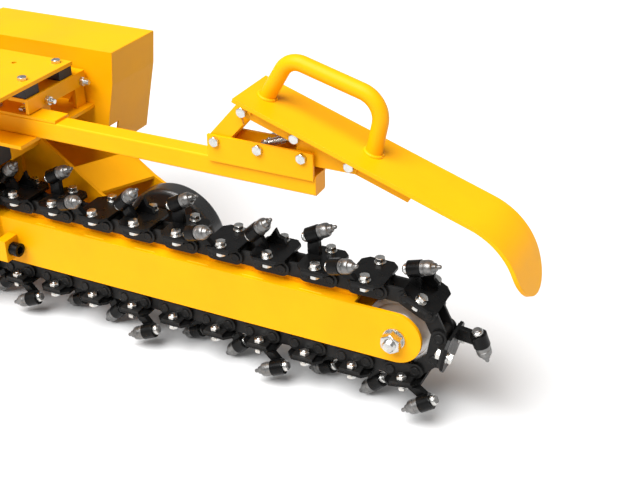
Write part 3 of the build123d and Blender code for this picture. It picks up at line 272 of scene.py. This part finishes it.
def spindle(solid):
    """Axis of a turned or hexagonal solid, a point on it, and each corner's height and radius."""
    points, directions, areas = solid
    candidates = np.unique(np.round(directions, 2), axis=0)
    candidates /= np.linalg.norm(candidates, axis=1)[:, None]
    share = (np.abs(candidates @ directions.T) > 0.9995) @ areas
    aligned = np.abs(directions @ candidates[share.argmax()]) > 0.9995
    own = directions[aligned] * np.sign(directions[aligned] @ candidates[share.argmax()])[:, None]
    axis = (own * areas[aligned, None]).sum(axis=0)
    axis /= np.linalg.norm(axis)
    centre = points.mean(axis=0)
    height = (points - centre) @ axis
    radius = np.linalg.norm(points - centre - np.outer(height, axis), axis=1)
    return axis, centre, height, radius


def seat(origin, axis, side=None):
    """Place whose z runs along axis and whose x points to side."""
    z = Vector(axis).normalized()
    x = Vector(side if side is not None else z.orthogonal())
    x = (x - z * x.dot(z)).normalized()
    place = Matrix((x, z.cross(x), z)).transposed().to_4x4()
    place.translation = Vector(origin)
    return place


def skin(store, rings, caps=(True, True)):
    """Join a stack of equal rings of points with faces, and close its ends."""
    points, faces = store
    count, start = len(rings[0]), len(points)
    for ring in rings:
        points.extend(ring)
    for level_index in range(len(rings) - 1):
        a = start + level_index * count
        for i in range(count):
            j = (i + 1) % count
            faces.append((a + i, a + j, a + count + j, a + count + i))
    if caps[0]:
        faces.append(tuple(start + i for i in reversed(range(count))))
    if caps[1]:
        faces.append(tuple(start + (len(rings) - 1) * count + i for i in range(count)))


def turn(store, profile, place, count=32):
    """Turn a profile of (radius, height) about a place's z."""
    around = [(math.cos(math.tau * i / count), math.sin(math.tau * i / count)) for i in range(count)]
    skin(store, [[place @ Vector((r * c, r * s, h)) for c, s in around] for r, h in profile])


def piece(name, store, finish, body, replaced=(), angle=32.0):
    """One visible piece from a store of points and faces."""
    mesh = bpy.data.meshes.new(name)
    mesh.from_pydata([tuple(p) for p in store[0]], [], store[1])
    mesh.shade_smooth()
    mesh.set_sharp_from_angle(angle=math.radians(angle))
    mesh.materials.append(finish)
    obj = bpy.data.objects.new(name, mesh)
    bpy.context.scene.collection.objects.link(obj)
    if body:
        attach(obj, body)
    if replaced:
        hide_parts(*replaced)
    return obj


BIT_PROFILE = (
    (0.0004, 0.0), (0.0022, -0.0004), (0.0034, -0.0014), (0.0040, -0.0032), (0.0041, -0.0084),
    (0.0048, -0.0090), (0.0070, -0.0096), (0.0076, -0.0104), (0.0094, -0.0166), (0.0100, -0.0172),
    (0.0124, -0.0180), (0.0132, -0.0192), (0.0141, -0.0226), (0.0145, -0.0244), (0.0145, -0.0290),
    (0.0138, -0.0295), (0.0138, -0.0309), (0.0145, -0.0314), (0.0145, -0.0380), (0.0138, -0.0389),
    (0.0080, -0.0390), (0.0080, -0.0748), (0.0070, -0.0760), (0.0004, -0.0760),
)
TIP_INSET = 0.0003
bit_seats = []
bits = ([], [])
for solid in solids("rotary_bits"):
    axis, centre, height, radius = spindle(solid)
    if radius[height > height.max() - 0.002].max() > 0.006:
        axis, height = -axis, -height
    bit_seats.append(seat(centre + axis * (height.max() - TIP_INSET), axis))
    turn(bits, BIT_PROFILE, bit_seats[-1], 36)
piece("bits", bits, turned_steel, "frame", ["rotary_bits"])

# ---- chain pins ------------------------------------------------------------------------------------
# Hardened pins through every joint of the chain, with flat heads that are chamfered and dished on
# the outside of the link plates.
pins = ([], [])
for solid in solids("chain_pins"):
    axis, centre, height, radius = spindle(solid)
    half, head, shank = height.max(), radius.max(), radius.min() if radius.min() > 0.004 else 0.007
    profile = [(0.0030, -half + 0.0007), (0.0058, -half + 0.0007), (0.0066, -half)]
    profile += [(head - 0.0010, -half), (head, -half + 0.0010), (head, -half + 0.0029)]
    profile += [(0.007, -half + 0.0030)]
    profile += [(r, -h) for r, h in reversed(profile)]
    turn(pins, profile, seat(centre, axis), 28)
piece("link_pins", pins, oiled, "frame", ["chain_pins"])

# ---- hex bolts and nuts ----------------------------------------------------------------------------
# Zinc plated hex bolts with a washer face, a chamfered head and a cut thread; the nuts have both
# faces chamfered.  The bolts go through the plates and the nuts pull them up from behind.
zinc = surface(
    "zinc", ((0.52, 0.52, 0.50), (0.74, 0.74, 0.72)), 1.0, (0.18, 0.36),
    900.0, 0.15, 70.0, 0.0005,
)


def hexagon(flats, height, limit, place):
    """Ring of points on a hexagon whose corners are cut back to a radius."""
    ring = []
    for i in range(48):
        turned = math.tau * i / 48
        corner = flats / 2 / math.cos((turned % (math.pi / 3)) - math.pi / 6)
        reach = min(corner, limit)
        ring.append(place @ Vector((reach * math.cos(turned), reach * math.sin(turned), height)))
    return ring


def hex_stack(flats, low, high, place, both=False):
    """Rings of a hex head: a round washer face, straight flats and a chamfered crown."""
    corner = flats / math.sqrt(3)
    rings = [hexagon(flats, low, flats * 0.47, place)]
    for share in ((0.475, 0.52, 0.6) if both else (0.475, 0.6)):
        lift = max(0.0, (min(corner, flats * share) - flats * 0.47)) * 0.5
        rings.append(hexagon(flats, low + lift if both else low + 0.0004, flats * share, place))
    for share in (0.6, 0.555, 0.525, 0.50, 0.475):
        drop = (min(corner, flats * share) - flats * 0.46) * 0.58
        rings.append(hexagon(flats, high - drop, flats * share, place))
    rings.append(hexagon(flats, high, flats * 0.45, place))
    return rings


def thread(radius, low, high, pitch):
    """Profile of a cut thread from low to high, with a chamfered end."""
    profile = []
    steps = int((high - low) / pitch)
    for i in range(steps):
        z = low + i * pitch
        profile += [(radius, z + pitch * 0.1), (radius - pitch * 0.5, z + pitch * 0.55)]
    return profile + [(radius, high - pitch * 0.9), (radius - pitch * 0.7, high), (0.0006, high)]


def hex_bolts(store, name, pitch, washers=0.0):
    """Rebuild a CAD node's bolts with real heads and threads, on a flat and a spring washer."""
    for solid in solids(name):
        points = solid[0]
        axis, centre, height, radius = spindle(solid)
        corners = radius > radius.max() * 0.985
        if height[corners].mean() < (height.max() + height.min()) / 2:
            axis, height = -axis, -height
        flats = radius.max() * math.sqrt(3)
        shank = radius[height < height.min() + 1e-4].max()
        low, high = height[corners].min(), height.max()
        place = seat(centre, axis, points[corners.argmax()] - centre)
        if washers:
            flat, spring_top = low + washers * 0.45, low + washers * 0.95
            turn(store, (
                (shank, low), (flats * 0.62, low), (flats * 0.635, low + 0.0004),
                (flats * 0.635, flat - 0.0004), (flats * 0.62, flat), (shank, flat),
            ), place, 32)
            turn(store, (
                (shank, flat), (flats * 0.51, flat), (flats * 0.53, flat + 0.0003),
                (flats * 0.53, spring_top - 0.0003), (flats * 0.51, spring_top), (shank, spring_top),
            ), place, 32)
        skin(store, hex_stack(flats, low + washers, high, place))
        run = min(high - low + shank * 3.0, (low - height.min()) * 0.6)
        flipped = place @ Matrix.Diagonal((1, -1, -1, 1))
        profile = [(0.0006, -low), (shank, -low), (shank, -height.min() - run)]
        profile += thread(shank, -height.min() - run, -height.min(), pitch)
        turn(store, profile, flipped, 24)


def hex_nuts(store, name):
    """Rebuild a CAD node's nuts with chamfered faces and an open bore."""
    for solid in solids(name):
        points = solid[0]
        axis, centre, height, radius = spindle(solid)
        corners = radius > radius.max() * 0.985
        flats = radius.max() * math.sqrt(3)
        place = seat(centre, axis, points[corners.argmax()] - centre)
        rings = hex_stack(flats, height.min(), height.max(), place, both=True)
        bore = radius.min()
        ring_low, ring_high = (
            [
                place @ Vector((bore * math.cos(turned), bore * math.sin(turned), z))
                for turned in (math.tau * i / 48 for i in range(48))
            ]
            for z in (height.min(), height.max())
        )
        skin(store, [ring_low, *rings, ring_high, ring_low], (False, False))


for label, bolts, nuts, pitch, body in (
    ("plate_fixings", ["plate_bolts"], ["plate_nuts"], 0.00175, "frame"),
    ("frame_fixings", ["frame_bolts", "bracket_bolts"], ["frame_nuts"], 0.00175, "frame"),
    ("bearing_fixings", ["bearing_bolts"], [], 0.0015, "frame"),
    ("crumber_fixings", ["crumber_bolts"], ["crumber_nuts"], 0.00175, "crumber"),
    ("nose_fixings", ["nose_bolt"], ["nose_nut"], 0.003, "boom"),
    ("wheel_fixings", ["wheel_bolt"], ["wheel_nut"], 0.0025, "frame"),
):
    store = ([], [])
    for name in bolts:
        hex_bolts(store, name, pitch, 0.004 if name == "plate_bolts" else 0.0)
    for name in nuts:
        hex_nuts(store, name)
    piece(label, store, zinc, body, bolts + nuts, angle=28.0)
paint(["nose_washers", "wheel_spacers"], zinc)

clips = ([], [])
for place in bit_seats:
    turn(clips, ((0.0081, -0.0653), (0.0103, -0.0653), (0.0110, -0.0659), (0.0110, -0.0694),
                 (0.0106, -0.0699), (0.0106, -0.0703), (0.0109, -0.0708), (0.0104, -0.0725),
                 (0.0094, -0.0733), (0.0081, -0.0733)), place, 32)
piece("retaining_clips", clips, zinc, "frame", ["bit_clips"])

# ---- chain tensioner screw -------------------------------------------------------------------------
# A black socket-head screw through the boom's lug; turning it pushes the boom out against the
# socket block and so tightens the chain.
paint(["tension_screw"], black)

# ---- lift spring -----------------------------------------------------------------------------------
# A close-wound tension spring between the post on the arm and a bolt in the crumber's cheeks, with
# a half loop hooked over each.  It carries part of the crumber's weight.


def sweep(store, path, radius, count=8):
    """Skin a round bar along a path of points; radius is one number or one for each point."""
    path = [Vector(p) for p in path]
    side = (path[1] - path[0]).orthogonal().normalized()
    rings = []
    for i, point in enumerate(path):
        way = (path[min(i + 1, len(path) - 1)] - path[max(i - 1, 0)]).normalized()
        side = (side - way * side.dot(way)).normalized()
        other = way.cross(side)
        r = radius[i] if isinstance(radius, (list, tuple)) else radius
        rings.append([
            point + (side * math.cos(turned) + other * math.sin(turned)) * r
            for turned in (math.tau * k / count for k in range(count))
        ])
    skin(store, rings)


TILT = math.radians(18.9)
PIVOT = NOSE + Vector((-0.193, 0, 0.324))


def on_crumber(u, y, v):
    """Point of the crumber from its distances along and square to the plate."""
    return PIVOT + Vector((
        u * math.cos(TILT) + v * math.sin(TILT), y, -u * math.sin(TILT) + v * math.cos(TILT),
    ))


post = NOSE + Vector((-0.282, 0, 0.324))
hook = on_crumber(-0.028, 0, 0.023)
along = (hook - post).normalized()
across = Vector((0, 1, 0))
out = along.cross(across)
span = (hook - post).length
COIL_TURNS = 17
COIL_STEPS = 20 * COIL_TURNS
coil = []
for i in range(COIL_STEPS + 1):
    share = i / COIL_STEPS
    turned = math.tau * COIL_TURNS * share
    spot = post + along * (0.013 + (span - 0.026) * share)
    coil.append(spot + (across * math.cos(turned) + out * math.sin(turned)) * 0.0064)
spring = ([], [])
sweep(spring, coil, 0.00135)
for centre_point, way, neck in ((post, along, coil[0]), (hook, -along, coil[-1])):
    loop = [neck, (neck + centre_point + way * 0.0078) / 2]
    for i in range(15):
        turned = -0.45 * math.pi + 1.45 * math.pi * i / 14
        loop.append(centre_point + (way * math.cos(turned) + out * math.sin(turned)) * 0.0078)
    sweep(spring, loop, 0.00125)
coil_spring = piece("coil_spring", spring, zinc, None, ["lift_spring"], angle=60.0)
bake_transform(coil_spring)

# ---- weld beads ------------------------------------------------------------------------------------
# Painted-over weld seams: stitches along the boom's top edge and under the arm brackets, a full
# fillet round each foot of the crumber's handle, and runs that hold the cheeks to the plate.


def bead(store, path, radius):
    """A rippled weld bead along a path of points."""
    path = [Vector(p) for p in path]
    points = []
    for a, b in zip(path, path[1:]):
        steps = max(2, int((b - a).length / 0.0009))
        points += [a.lerp(b, i / steps) for i in range(steps)]
    points.append(path[-1])
    sizes = []
    for i in range(len(points)):
        fade = min(1.0, (i + 1) / 4, (len(points) - i) / 4)
        sizes.append(radius * fade * (0.86 + 0.14 * abs(math.sin(i * 0.9))))
    sweep(store, points, sizes, 10)


BOOM_EDGE = 0.0527
STITCH_SPACING = 0.125
STITCH_LENGTH = 0.052
stitches = ([], [])
for side in (-1, 1):
    for i in range(6):
        start = NOSE.x - 0.150 - STITCH_SPACING * i
        for z in (BOOM_EDGE, -BOOM_EDGE):
            ends = [(start, side * 0.0338, z), (start - STITCH_LENGTH, side * 0.0338, z)]
            bead(stitches, ends, 0.0021)
piece("boom_welds", stitches, yellow, "boom", angle=50.0)

seams = ([], [])
for side in (-1, 1):
    for start, length in ((0.016, 0.040), (0.090, 0.045), (0.168, 0.040)):
        x = NOSE.x - 0.171 - start
        bead(seams, [(x, side * 0.0205, 0.2815), (x - length, side * 0.0205, 0.2815)], 0.0024)
piece("bracket_welds", seams, yellow, "frame", angle=50.0)

feet = ([], [])
for u in (-0.1067, 0.1138):
    circle = []
    for i in range(41):
        turned = math.tau * i / 40
        circle.append(on_crumber(u + 0.0162 * math.cos(turned), 0.0158 * math.sin(turned), 0.0655))
    bead(feet, circle, 0.0040)
for side in (-1, 1):
    for start in (-0.135, -0.060, 0.015, 0.125, 0.175):
        edge = 0.0146 if start < 0.1 else 0.0086
        run = 0.040 if start < 0.1 else 0.030
        ends = [on_crumber(x, side * edge, 0.0568) for x in (start, start + run)]
        bead(feet, ends, 0.0024)
piece("crumber_welds", feet, yellow, "crumber", angle=50.0)
